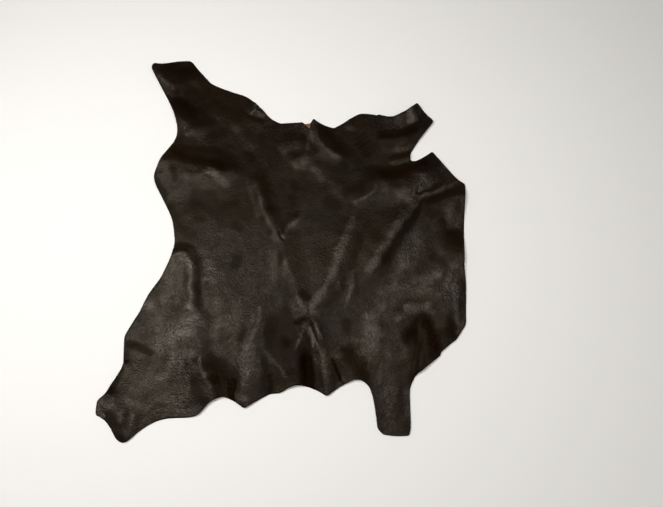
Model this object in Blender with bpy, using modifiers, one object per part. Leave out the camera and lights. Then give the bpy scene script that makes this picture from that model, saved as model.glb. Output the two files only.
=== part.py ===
# A whole small dressed skin, such as a goat's or lamb's, lying grain side up on a flat
# surface. It is one sheet of leather: a leg at each corner, the neck edge towards +Y and
# the rump edge towards -Y. The underside is the reference surface. It lies at z = 0
# wherever the skin touches down, and the folds lift it from there.

import math
from collections import namedtuple

import bmesh
import bpy
import numpy as np
from mathutils import Vector

MM = 0.001
NAME = "hide"
THICKNESS = 1.2 * MM  # garment weight leather
CELL = 15 * MM  # spacing of the grid that cuts the sheet into facets
EDGE_STEP = 12 * MM  # longest straight piece of the outline
LEAST_EDGE = 1.5 * MM  # points closer than this become one
CORNER_PIECES = 2  # straight pieces round each softened corner
CREST_BLUNTNESS = 0.15  # how round a creased fold's crest is, as a share of its flank
FLANK_POWER = 1.3  # 1 for straight flanks, more for flanks that flatten out at their foot
END_TAPER = 0.35  # share of a fold's course over which it rises or dies out
BLEND = 3.0  # how sharply crossing folds merge: 1 adds them, more keeps the higher one
CURVE_PIECES = 4  # straight pieces between two points of a fold's course

LEATHER = {"color": (0.012, 0.008, 0.005, 1.0), "roughness": 0.45, "metallic": 0.0}

# The outline runs clockwise, in millimetres from a mark near the skin's middle.
# bow is how far the edge from a corner to the next one swells outwards, or is hollow
# where it is negative. soft is how far from the corner its rounding starts.
Corner = namedtuple("Corner", "x y bow soft")
OUTLINE = {
    "left fore leg": (
        Corner(-335, 427, 1, 6),
        Corner(-330, 441, -1, 5),
        Corner(-302, 440, 4, 10),
        Corner(-241, 450, -2, 9),
        Corner(-189, 387, -2, 10),
    ),
    "neck edge": (
        Corner(-110, 356, 1, 10),
        Corner(-80, 334, 0, 6),
        Corner(-47, 296, -1, 10),
        Corner(-20, 282, 0, 3),
        Corner(32, 285, 0, 4),
        Corner(37, 277, 0, 3),
        Corner(50, 277, 0, 4),
        Corner(57, 289, -2, 3),
        Corner(105, 270, -1, 4),
        Corner(164, 307, 2, 9),
        Corner(207, 303, 0, 2),
        Corner(211, 306, -2, 3),
        Corner(246, 298, -4, 12),
    ),
    "right fore leg": (
        Corner(302, 333, -1, 4),
        Corner(330, 298, 0, 8),
        Corner(340, 286, 0, 7),
        Corner(322, 263, -2, 10),
        Corner(281, 201, 0, 8),
        Corner(281, 186, 0, 6),
        Corner(293, 184, -1, 6),
    ),
    "right flank": (
        Corner(333, 210, -2, 5),
        Corner(389, 137, 0, 6),
        Corner(404, 129, -1, 6),
        Corner(391, -30, 0, 12),
        Corner(389, -68, 0, 12),
        Corner(391, -100, 0, 12),
        Corner(385, -191, 0, 7),
        Corner(362, -224, -1, 5),
        Corner(329, -249, 0, 2),
        Corner(327, -256, 0, 3),
    ),
    "right hind leg": (
        Corner(274, -296, 0, 8),
        Corner(260, -322, 0, 12),
        Corner(260, -400, 0, 12),
        Corner(256, -415, 2, 4),
        Corner(203, -413, 0, 4),
        Corner(192, -401, -1, 5),
        Corner(183, -334, -7, 12),
    ),
    "rump edge": (
        Corner(150, -304, -3, 8),
        Corner(90, -339, -4, 6),
        Corner(29, -316, -2, 8),
        Corner(-5, -332, 0, 5),
        Corner(-27, -334, -1, 5),
        Corner(-79, -363, -3, 6),
        Corner(-124, -339, -1, 4),
        Corner(-150, -350, 0, 10),
        Corner(-171, -375, 1, 9),
        Corner(-198, -381, -1, 12),
        Corner(-248, -384, -4, 14),
    ),
    "left hind leg": (
        Corner(-308, -424, 0, 8),
        Corner(-320, -430, 0, 8),
        Corner(-334, -423, 0, 8),
        Corner(-350, -397, -3, 12),
        Corner(-381, -376, 1, 5),
        Corner(-380, -345, -1, 5),
        Corner(-362, -327, -1, 3),
        Corner(-336, -281, 0, 8),
        Corner(-335, -258, 0, 10),
    ),
    "left flank": (
        Corner(-339, -217, 1, 8),
        Corner(-311, -165, 1, 14),
        Corner(-288, -113, -2, 14),
        Corner(-263, -68, -2, 14),
        Corner(-248, -20, -3, 14),
        Corner(-261, 53, 0, 14),
        Corner(-300, 125, 3, 10),
        Corner(-303, 159, 2, 10),
        Corner(-267, 237, -1, 10),
        Corner(-261, 264, -3, 10),
        Corner(-283, 330, 0, 14),
    ),
}

# The folds, in millimetres. height is the crest's. left and right are the widths of the
# flanks on either side of its course. start and end are the shares of the height that
# are left at the two ends: 0 dies out, 1 runs off the edge at full height. sharp is 0 for
# a round crest and 1 for a creased one.
Fold = namedtuple("Fold", "name height left right start end sharp course")
FOLDS = (
    Fold("left fore shank", 9, 64, 25, 0.9, 0.1, 0.8,
         ((-336, 436), (-308, 404), (-284, 378), (-256, 352))),
    Fold("left fore inner", 3, 34, 26, 0.0, 0.1, 0.2,
         ((-264, 404), (-230, 397), (-192, 384))),
    Fold("left neck roll", 7, 50, 46, 0.8, 0.0, 0.4,
         ((-278, 306), (-250, 292), (-228, 274), (-198, 242))),
    Fold("left shoulder", 12, 54, 90, 0.9, 0.0, 0.5,
         ((-304, 187), (-262, 179), (-222, 173), (-186, 171), (-160, 160), (-132, 147), (-100, 136))),
    Fold("nape", 3, 30, 24, 0.0, 0.0, 0.3,
         ((-142, 330), (-120, 276), (-98, 246), (-76, 208))),
    Fold("neck edge lift", 4, 12, 30, 0.0, 0.5, 0.9,
         ((-104, 340), (-88, 328), (-72, 316), (-50, 300))),
    Fold("neck pleat", 4, 13, 80, 0.0, 0.0, 0.7,
         ((-122, 316), (-100, 298), (-76, 285), (-50, 279))),
    Fold("left back upper", 7, 34, 24, 0.1, 0.7, 0.8,
         ((-86, 168), (-70, 122), (-58, 90), (-43, 52), (-34, 32), (-14, 4))),
    Fold("left back lower", 6, 44, 30, 0.8, 0.9, 0.8,
         ((-14, 4), (-2, -40), (9, -75), (23, -110), (35, -140), (47, -174))),
    Fold("left back strand", 4, 18, 28, 0.0, 0.0, 0.3,
         ((-32, 14), (-18, -30), (-14, -70), (-14, -108))),
    Fold("right back", 6, 56, 42, 0.9, 0.0, 0.6,
         ((50, -176), (63, -152), (80, -122), (98, -90), (120, -50), (140, 0), (154, 50), (164, 86))),
    Fold("back cross", 2, 30, 24, 0.7, 0.0, 0.4,
         ((-12, 2), (0, 22), (14, 40), (38, 58))),
    Fold("loin", 3, 16, 18, 0.0, 0.0, 0.4,
         ((151, -62), (148, -95), (145, -125), (137, -155))),
    Fold("long wrinkle", 7.5, 60, 30, 0.0, 0.9, 0.8,
         ((160, -112), (180, -84), (207, -46), (229, 0), (248, 28), (270, 50), (292, 80))),
    Fold("long wrinkle end", 4, 30, 20, 0.9, 0.8, 0.7,
         ((292, 80), (308, 97), (334, 109), (362, 122), (404, 145))),
    Fold("right hip", 9, 30, 60, 0.2, 0.8, 0.5,
         ((296, 60), (330, 78), (364, 92), (408, 106))),
    Fold("shoulder tip", 4, 34, 24, 0.0, 0.7, 0.6,
         ((142, 78), (168, 95), (190, 108), (202, 132))),
    Fold("right shoulder", 12, 46, 72, 0.4, 0.4, 0.4,
         ((196, 134), (228, 132), (256, 136), (286, 148), (320, 158), (354, 174))),
    Fold("right fore fold", 9, 24, 36, 0.0, 0.6, 0.5,
         ((200, 238), (238, 241), (274, 246), (304, 268), (326, 284))),
    Fold("right fore shank", 4, 34, 60, 0.6, 0.5, 0.4,
         ((304, 338), (299, 305), (298, 276))),
    Fold("fore leg face", 13, 20, 50, 0.3, 0.2, 0.7,
         ((238, 306), (268, 319), (302, 334))),
    Fold("notch lip", 5, 16, 12, 0.0, 0.7, 0.7,
         ((228, 180), (256, 187), (284, 198))),
    Fold("tent right", 7.5, 30, 36, 1.0, 0.5, 0.9,
         ((58, 290), (62, 264), (71, 240), (90, 214), (110, 203), (130, 194))),
    Fold("tent apex", 7, 13, 13, 1.0, 0.0, 0.6,
         ((54, 364), (58, 290), (60, 250))),
    Fold("tent foot", 5, 78, 32, 0.2, 0.4, 0.7,
         ((-2, 178), (18, 192), (38, 196), (62, 180))),
    Fold("tent tail", 1.5, 56, 36, 0.5, 0.0, 0.3,
         ((50, 187), (80, 165), (110, 138), (150, 96))),
    Fold("neck right", 3, 24, 14, 0.8, 0.0, 0.6,
         ((146, 298), (143, 280), (142, 260))),
    Fold("left flank", 6.5, 24, 56, 0.7, 0.2, 0.8,
         ((-262, -36), (-240, -31), (-218, -36), (-207, -62), (-204, -98), (-202, -132), (-198, -162),
          (-180, -205))),
    Fold("left flank inner", 3, 60, 26, 0.0, 0.0, 0.4,
         ((-168, -45), (-162, -95), (-146, -148), (-142, -215))),
    Fold("left hind crease", 2.5, 26, 62, 0.9, 0.0, 0.4,
         ((-342, -246), (-312, -248), (-284, -256), (-260, -268))),
    Fold("left rump", 9.5, 46, 86, 0.0, 0.9, 0.85,
         ((-176, -150), (-172, -200), (-178, -250), (-169, -280), (-158, -303), (-147, -322),
          (-132, -348))),
    Fold("rump left crest", 6, 50, 42, 0.0, 0.8, 0.3,
         ((-44, -112), (-54, -146), (-64, -190), (-70, -225), (-73, -262), (-76, -305), (-82, -352))),
    Fold("rump left strand", 2.5, 30, 12, 0.1, 0.6, 0.8,
         ((-46, -146), (-48, -190), (-46, -236), (-38, -254), (-14, -275), (3, -291), (10, -322))),
    Fold("rump middle", 11, 36, 56, 0.3, 0.9, 0.7,
         ((47, -186), (37, -210), (27, -245), (27, -280), (30, -318))),
    Fold("rump right crest", 6, 46, 15, 0.5, 0.8, 0.7,
         ((53, -184), (66, -222), (80, -262), (92, -334))),
    Fold("rump right flap", 8, 46, 40, 0.2, 0.9, 0.7,
         ((114, -232), (122, -252), (132, -278), (144, -308))),
    Fold("right hind leg", 2.5, 60, 62, 0.1, 0.4, 0.3,
         ((206, -124), (208, -180), (214, -230), (224, -290), (231, -350), (234, -416))),
    Fold("haunch ridge", 7, 42, 60, 0.5, 0.5, 0.6,
         ((274, -172), (256, -194), (246, -218), (246, -244))),
    Fold("haunch pleat", 8, 40, 18, 0.3, 0.9, 0.7,
         ((286, -172), (293, -186), (297, -212), (294, -245), (286, -282))),
    Fold("right haunch edge", 4, 30, 50, 0.0, 0.8, 0.5,
         ((340, -90), (338, -140), (336, -190), (334, -238))),
    Fold("right edge", 2.2, 20, 60, 0.0, 0.8, 0.6,
         ((380, -50), (374, -110), (369, -160), (367, -206))),
    Fold("right belly", 7, 56, 76, 0.0, 0.8, 0.2,
         ((322, -32), (395, -36))),
    Fold("left hind hem", 5, 14, 40, 0.3, 0.4, 0.7,
         ((-360, -338), (-346, -308), (-331, -278))),
    Fold("left foot", 2.5, 22, 36, 0.6, 0.6, 0.5,
         ((-380, -352), (-354, -362), (-346, -404))),
    Fold("left foot inner", 3, 20, 26, 0.0, 0.7, 0.4,
         ((-298, -345), (-305, -385), (-314, -428))),
)


def bowed(here, there, bow, share):
    # The point at this share of the way along an edge that swells outwards by bow.
    run = there - here
    outwards = Vector((-run.y, run.x)).normalized()
    return here + run * share + outwards * (4.0 * bow * share * (1.0 - share))


def outline_points():
    corners = [corner for side in OUTLINE.values() for corner in side]
    count = len(corners)
    places = [Vector((corner.x, corner.y)) * MM for corner in corners]
    bows = [corner.bow * MM for corner in corners]
    lengths = [(places[(i + 1) % count] - places[i]).length for i in range(count)]
    softs = [
        min(corners[i].soft * MM, 0.45 * lengths[i], 0.45 * lengths[i - 1])
        for i in range(count)
    ]
    points = []
    for i in range(count):
        after = (i + 1) % count
        first = softs[i] / lengths[i]
        last = 1.0 - softs[after] / lengths[i]
        enter = bowed(places[i - 1], places[i], bows[i - 1], 1.0 - softs[i] / lengths[i - 1])
        leave = bowed(places[i], places[after], bows[i], first)
        for j in range(CORNER_PIECES):
            t = j / CORNER_PIECES
            points.append(enter * (1 - t) ** 2 + places[i] * (2 * t * (1 - t)) + leave * t**2)
        pieces = max(1, round((last - first) * lengths[i] / EDGE_STEP))
        for j in range(pieces):
            share = first + (last - first) * j / pieces
            points.append(bowed(places[i], places[after], bows[i], share))
    return points


def smooth_course(course):
    # A fold's course as a smooth curve through its own points.
    points = [Vector(point) * MM for point in course]
    padded = [2 * points[0] - points[1], *points, 2 * points[-1] - points[-2]]
    line = []
    for p0, p1, p2, p3 in zip(padded, padded[1:], padded[2:], padded[3:]):
        for j in range(CURVE_PIECES):
            t = j / CURVE_PIECES
            line.append(
                0.5 * (2 * p1 + (p2 - p0) * t + (2 * p0 - 5 * p1 + 4 * p2 - p3) * t**2
                       + (3 * p1 - p0 - 3 * p2 + p3) * t**3)
            )
    return line + [points[-1]]


def rise(from_end, left_over):
    # The share of a fold's height at this share of its course from one end.
    t = np.clip(from_end / END_TAPER, 0.0, 1.0)
    return left_over + (1.0 - left_over) * t * t * (3.0 - 2.0 * t)


def fold_height(fold, x, y):
    # The height of one fold at each place: two flanks that fall away from its course.
    line = smooth_course(fold.course)
    total = sum((b - a).length for a, b in zip(line, line[1:]))
    nearest = np.full(len(x), np.inf)
    along = np.zeros(len(x))
    lean = np.zeros(len(x))
    travelled = 0.0
    for a, b in zip(line, line[1:]):
        run = b - a
        t = np.clip(((x - a.x) * run.x + (y - a.y) * run.y) / run.length_squared, 0.0, 1.0)
        dx, dy = x - a.x - t * run.x, y - a.y - t * run.y
        distance = np.maximum(np.hypot(dx, dy), 1e-9)
        closer = distance < nearest
        nearest = np.where(closer, distance, nearest)
        along = np.where(closer, (travelled + t * run.length) / total, along)
        lean = np.where(closer, (run.x * dy - run.y * dx) / (run.length * distance), lean)
        travelled += run.length
    width = (fold.right + (fold.left - fold.right) * (0.5 + 0.5 * lean)) * MM
    reach = np.minimum(nearest / width, 1.0)
    creased = np.hypot(reach, CREST_BLUNTNESS) - CREST_BLUNTNESS
    creased /= np.hypot(1.0, CREST_BLUNTNESS) - CREST_BLUNTNESS
    crest = fold.height * MM * rise(along, fold.start) * rise(1.0 - along, fold.end)
    creased_flank = (1.0 - creased) ** FLANK_POWER
    round_flank = (1.0 - reach**2) ** 2
    return crest * (fold.sharp * creased_flank + (1.0 - fold.sharp) * round_flank)


def lift(x, y):
    # The height of the skin's underside at each place.
    heights = [fold_height(fold, x, y) for fold in FOLDS]
    return sum(height**BLEND for height in heights) ** (1.0 / BLEND)


def flat_sheet():
    # The outline as one face, cut into a grid of facets.
    sheet = bmesh.new()
    rim = [sheet.verts.new((point.x, point.y, 0.0)) for point in reversed(outline_points())]
    sheet.faces.new(rim)
    for axis in (Vector((1, 0, 0)), Vector((0, 1, 0))):
        reach = [vert.co.dot(axis) for vert in rim]
        for step in range(math.ceil(min(reach) / CELL), math.ceil(max(reach) / CELL)):
            bmesh.ops.bisect_plane(
                sheet,
                geom=[*sheet.verts, *sheet.edges, *sheet.faces],
                plane_co=axis * step * CELL,
                plane_no=axis,
            )
    bmesh.ops.remove_doubles(sheet, verts=sheet.verts, dist=LEAST_EDGE)
    bmesh.ops.triangulate(sheet, faces=sheet.faces)
    return sheet


def fold_sheet(sheet):
    sheet.verts.ensure_lookup_table()
    x = np.array([vert.co.x for vert in sheet.verts])
    y = np.array([vert.co.y for vert in sheet.verts])
    for vert, height in zip(sheet.verts, lift(x, y)):
        vert.co.z = height
    middle = Vector(((x.min() + x.max()) / 2, (y.min() + y.max()) / 2, 0.0))
    bmesh.ops.translate(sheet, verts=sheet.verts, vec=-middle)


def leather():
    material = bpy.data.materials.new("dark_brown_leather")
    material.use_nodes = True
    shader = material.node_tree.nodes["Principled BSDF"]
    shader.inputs["Base Color"].default_value = LEATHER["color"]
    shader.inputs["Roughness"].default_value = LEATHER["roughness"]
    shader.inputs["Metallic"].default_value = LEATHER["metallic"]
    return material


def hide(collection):
    sheet = flat_sheet()
    fold_sheet(sheet)
    mesh = bpy.data.meshes.new(NAME)
    sheet.to_mesh(mesh)
    sheet.free()
    mesh.materials.append(leather())
    mesh.shade_smooth()
    skin = bpy.data.objects.new(NAME, mesh)
    collection.objects.link(skin)
    wall = skin.modifiers.new("thickness", "SOLIDIFY")
    wall.thickness = THICKNESS
    wall.offset = 1.0  # the sheet as drawn is the underside
    return skin


def main():
    for old in list(bpy.data.objects):
        bpy.data.objects.remove(old, do_unlink=True)
    collection = bpy.data.collections.new("craft_leather")
    bpy.context.scene.collection.children.link(collection)
    hide(collection)


main()
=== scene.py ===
# A whole small dressed skin, such as a goat's or lamb's, lying grain side up on a table.
# It is one sheet of dark brown leather with satin grain, soft folds and a few sharp creases.

import math
from collections import namedtuple

import bmesh
import bpy
import numpy as np
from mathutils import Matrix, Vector, noise


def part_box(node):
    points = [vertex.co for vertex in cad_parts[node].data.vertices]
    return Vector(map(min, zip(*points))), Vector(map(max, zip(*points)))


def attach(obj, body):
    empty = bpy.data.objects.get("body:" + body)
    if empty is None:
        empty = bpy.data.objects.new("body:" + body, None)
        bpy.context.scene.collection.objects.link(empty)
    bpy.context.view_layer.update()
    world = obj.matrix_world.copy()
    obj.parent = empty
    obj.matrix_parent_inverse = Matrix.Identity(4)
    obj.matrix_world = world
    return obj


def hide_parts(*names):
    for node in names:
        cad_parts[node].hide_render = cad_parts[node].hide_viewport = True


mm = 0.001
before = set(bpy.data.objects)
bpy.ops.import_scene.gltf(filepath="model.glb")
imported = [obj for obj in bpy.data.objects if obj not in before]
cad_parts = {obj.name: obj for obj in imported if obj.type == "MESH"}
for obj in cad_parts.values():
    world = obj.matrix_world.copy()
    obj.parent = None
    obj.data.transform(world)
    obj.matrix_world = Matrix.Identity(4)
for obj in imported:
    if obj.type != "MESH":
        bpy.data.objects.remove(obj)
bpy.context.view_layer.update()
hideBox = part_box("hide")
print("frame loaded:", [round(side, 3) for side in hideBox[1] - hideBox[0]])


class Tap:
    # a socket of a shader, so that 1 - mask and mask * 2 read as they are meant
    def __init__(self, nodes, socket):
        self.nodes, self.socket = nodes, socket

    def combine(self, operation, first, second):
        return self.nodes.node("ShaderNodeMath", {"operation": operation}, {0: first, 1: second})

    def __add__(self, other):
        return self.combine("ADD", self, other)

    def __radd__(self, other):
        return self.combine("ADD", other, self)

    def __sub__(self, other):
        return self.combine("SUBTRACT", self, other)

    def __rsub__(self, other):
        return self.combine("SUBTRACT", other, self)

    def __mul__(self, other):
        return self.combine("MULTIPLY", self, other)

    def __rmul__(self, other):
        return self.combine("MULTIPLY", other, self)


class Nodes:
    # a node tree under construction: node() adds any node, feed() fills a socket
    def __init__(self, tree):
        self.tree = tree

    def feed(self, socket, value):
        if isinstance(value, Tap):
            self.tree.links.new(value.socket, socket)
        else:
            socket.default_value = value

    def node(self, kind, settings, inputs, output=0):
        made = self.tree.nodes.new(kind)
        for name, value in settings.items():
            setattr(made, name, value)
        for name, value in inputs.items():
            self.feed(made.inputs[name], value)
        return Tap(self, made.outputs[output])

    def smooth(self, value, low, high, shape="SMOOTHSTEP", start=0.0, end=1.0):
        # start below low, end above high, and a change between them
        return self.node(
            "ShaderNodeMapRange", {"interpolation_type": shape},
            {"Value": value, "From Min": low, "From Max": high, "To Min": start, "To Max": end})


class Finish(Nodes):
    # a material under construction
    def __init__(self, name):
        self.material = bpy.data.materials.new(name)
        self.material.use_nodes = True
        super().__init__(self.material.node_tree)
        self.shader = self.tree.nodes["Principled BSDF"]

    def paint(self, sockets):
        for name, value in sockets.items():
            self.feed(self.shader.inputs[name], value)

    def cover(self, surface):
        self.feed(self.tree.nodes["Material Output"].inputs["Surface"], surface)

    def place(self, turn=0.0):
        # the place on the object, turned about the upright axis
        at = self.node("ShaderNodeTexCoord", {}, {}, "Object")
        return self.node("ShaderNodeMapping", {"vector_type": "POINT"},
                         {"Vector": at, "Rotation": (0.0, 0.0, math.radians(-turn))})

    def cloud(self, place, scale, detail, roughness, distortion=0.0):
        return self.node("ShaderNodeTexNoise", {}, {
            "Vector": place, "Scale": scale, "Detail": detail, "Roughness": roughness,
            "Distortion": distortion})

    def cells(self, place, scale, feature="F1"):
        return self.node("ShaderNodeTexVoronoi", {"feature": feature},
                         {"Vector": place, "Scale": scale})

    def mark(self, name):
        # a number kept at each point of the mesh
        return self.node("ShaderNodeAttribute", {"attribute_name": name}, {}, "Fac")

    def tint(self, factor, first, second):
        return self.node(
            "ShaderNodeMix", {"data_type": "RGBA"}, {0: factor, 6: first, 7: second}, 2)

    def mix(self, share, first, second):
        return self.node("ShaderNodeMixShader", {}, {0: share, 1: first, 2: second})

    def bump(self, height, strength, distance):
        return self.node("ShaderNodeBump", {},
                         {"Strength": strength, "Distance": distance, "Height": height})


view = {
    "place": (0.0885, -0.350, 1.137),
    "tilt": 15.0,  # degrees away from straight down, towards the neck
    "lens": 29.0,
    "sensor": 36.0,
}


def placeCamera():
    lens = bpy.data.cameras.new("camera")
    lens.lens = view["lens"]
    lens.sensor_width = view["sensor"]
    camera = bpy.data.objects.new("camera", lens)
    camera.location = view["place"]
    camera.rotation_euler = (math.radians(view["tilt"]), 0.0, 0.0)
    bpy.context.scene.collection.objects.link(camera)
    bpy.context.scene.camera = camera


studio = {
    "floorSide": 4.4,
    "fade": (1.0, 2.1),  # how far from the middle the floor starts to fade and is gone
    "floorColor": (0.93, 0.93, 0.92, 1.0),
    "floorRoughness": 0.9,
    "skyColor": (1.0, 1.0, 1.0, 1.0),
    "skyStrength": 0.035,
    "wallStrength": 0.80,  # the room is paler low down, at its walls
    "wallFoot": 0.12,
    "wallTop": 0.42,
    "lampColor": (1.0, 0.97, 0.93),
}
SoftBox = namedtuple("SoftBox", "name place aim width length watts")
softBoxes = (
    SoftBox("side box", (-0.78, 0.0, 1.5), (-0.1, 0.0, 0.0), 0.7, 0.9, 20.6),
    SoftBox("middle box", (0.38, 0.20, 1.6), (0.2, 0.0, 0.0), 0.85, 0.7, 6.2),
    SoftBox("fill box", (0.90, -0.90, 2.4), (0.1, 0.0, 0.0), 1.8, 2.2, 13.3),
)


def lightRoom():
    world = bpy.data.worlds.new("room")
    world.use_nodes = True
    room = Nodes(world.node_tree)
    sky = world.node_tree.nodes["Background"]
    sky.inputs["Color"].default_value = studio["skyColor"]
    upwards = room.node("ShaderNodeTexCoord", {}, {}, "Generated")
    height = room.node("ShaderNodeSeparateXYZ", {}, {"Vector": upwards}, "Z")
    room.feed(sky.inputs["Strength"], room.smooth(
        height, studio["wallFoot"], studio["wallTop"],
        start=studio["wallStrength"], end=studio["skyStrength"]))
    bpy.context.scene.world = world
    bpy.context.scene.view_settings.view_transform = "Standard"


def hangSoftBox(box):
    lamp = bpy.data.lights.new(box.name, "AREA")
    lamp.shape = "RECTANGLE"
    lamp.size, lamp.size_y = box.width, box.length
    lamp.energy = box.watts
    lamp.color = studio["lampColor"]
    light = bpy.data.objects.new(box.name, lamp)
    light.location = box.place
    aim = Vector(box.aim) - Vector(box.place)
    light.rotation_euler = aim.to_track_quat("-Z", "Y").to_euler()
    bpy.context.scene.collection.objects.link(light)


def paperFinish():
    # pale paper that fades into the pale room well outside the skin
    finish = Finish("pale paper")
    finish.paint({"Base Color": studio["floorColor"], "Roughness": studio["floorRoughness"],
                  "Specular IOR Level": 0.0})
    at = finish.node("ShaderNodeTexCoord", {}, {}, "Object")
    away = finish.node("ShaderNodeVectorMath", {"operation": "LENGTH"}, {0: at}, "Value")
    clear = finish.node("ShaderNodeBsdfTransparent", {}, {})
    paper = Tap(finish, finish.shader.outputs["BSDF"])
    finish.cover(finish.mix(finish.smooth(away, *studio["fade"]), paper, clear))
    return finish.material


def layFloor():
    mesh = bpy.data.meshes.new("floor")
    sheet = bmesh.new()
    bmesh.ops.create_grid(sheet, x_segments=1, y_segments=1, size=studio["floorSide"] / 2)
    sheet.to_mesh(mesh)
    sheet.free()
    mesh.materials.append(paperFinish())
    floor = bpy.data.objects.new("floor", mesh)
    bpy.context.scene.collection.objects.link(floor)
    return floor


placeCamera()
lightRoom()
for box in softBoxes:
    hangSoftBox(box)
floor = layFloor()
print("camera, light and floor placed")


def withCourses(kind, rows):
    # rows of a table whose columns after the fixed ones are the points of a course
    fixed = len(kind._fields) - 1
    return [kind(*row[:fixed], row[fixed:]) for row in rows]


# Clockwise, in millimetres from a mark near the skin's middle. bow is how far the edge from
# a corner to the next one swells outwards, or is hollow where it is negative. soft is how
# far from the corner its rounding starts.
Corner = namedtuple("Corner", "x y bow soft")
outline = {
    "left fore leg": (
        (-335, 427, 1, 6), (-330, 441, -1, 5), (-302, 440, 4, 10), (-241, 450, -2, 9),
        (-189, 387, -2, 10),
    ),
    "neck edge": (
        (-110, 356, 1, 10), (-80, 334, 0, 6), (-47, 296, -1, 10), (-20, 282, 0, 3), (32, 285, 0, 4),
        (37, 277, 0, 3), (50, 277, 0, 4), (57, 289, -2, 3), (105, 270, -1, 4), (164, 307, 2, 9),
        (207, 303, 0, 2), (211, 306, -2, 3), (246, 298, -4, 12),
    ),
    "right fore leg": (
        (302, 333, -1, 4), (330, 298, 0, 8), (340, 286, 0, 7), (322, 263, -2, 10), (281, 201, 0, 8),
        (281, 186, 0, 6), (293, 184, -1, 6),
    ),
    "right flank": (
        (333, 210, -2, 5), (389, 137, 0, 6), (404, 129, -1, 6), (391, -30, 0, 12),
        (389, -68, 0, 12), (391, -100, 0, 12), (385, -191, 0, 7), (362, -224, -1, 5),
        (329, -249, 0, 2), (327, -256, 0, 3),
    ),
    "right hind leg": (
        (274, -296, 0, 8), (260, -322, 0, 12), (260, -400, 0, 12), (256, -415, 2, 4),
        (203, -413, 0, 4), (192, -401, -1, 5), (183, -334, -7, 12),
    ),
    "rump edge": (
        (150, -304, -3, 8), (90, -339, -4, 6), (29, -316, -2, 8), (-5, -332, 0, 5),
        (-27, -334, -1, 5), (-79, -363, -3, 6), (-124, -339, -1, 4), (-150, -350, 0, 10),
        (-171, -375, 1, 9), (-198, -381, -1, 12), (-248, -384, -4, 14),
    ),
    "left hind leg": (
        (-308, -424, 0, 8), (-320, -430, 0, 8), (-334, -423, 0, 8), (-350, -397, -3, 12),
        (-381, -376, 1, 5), (-380, -345, -1, 5), (-362, -327, -1, 3), (-336, -281, 0, 8),
        (-335, -258, 0, 10),
    ),
    "left flank": (
        (-339, -217, 1, 8), (-311, -165, 1, 14), (-288, -113, -2, 14), (-263, -68, -2, 14),
        (-248, -20, -3, 14), (-261, 53, 0, 14), (-300, 125, 3, 10), (-303, 159, 2, 10),
        (-267, 237, -1, 10), (-261, 264, -3, 10), (-283, 330, 0, 14),
    ),
}

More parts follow.
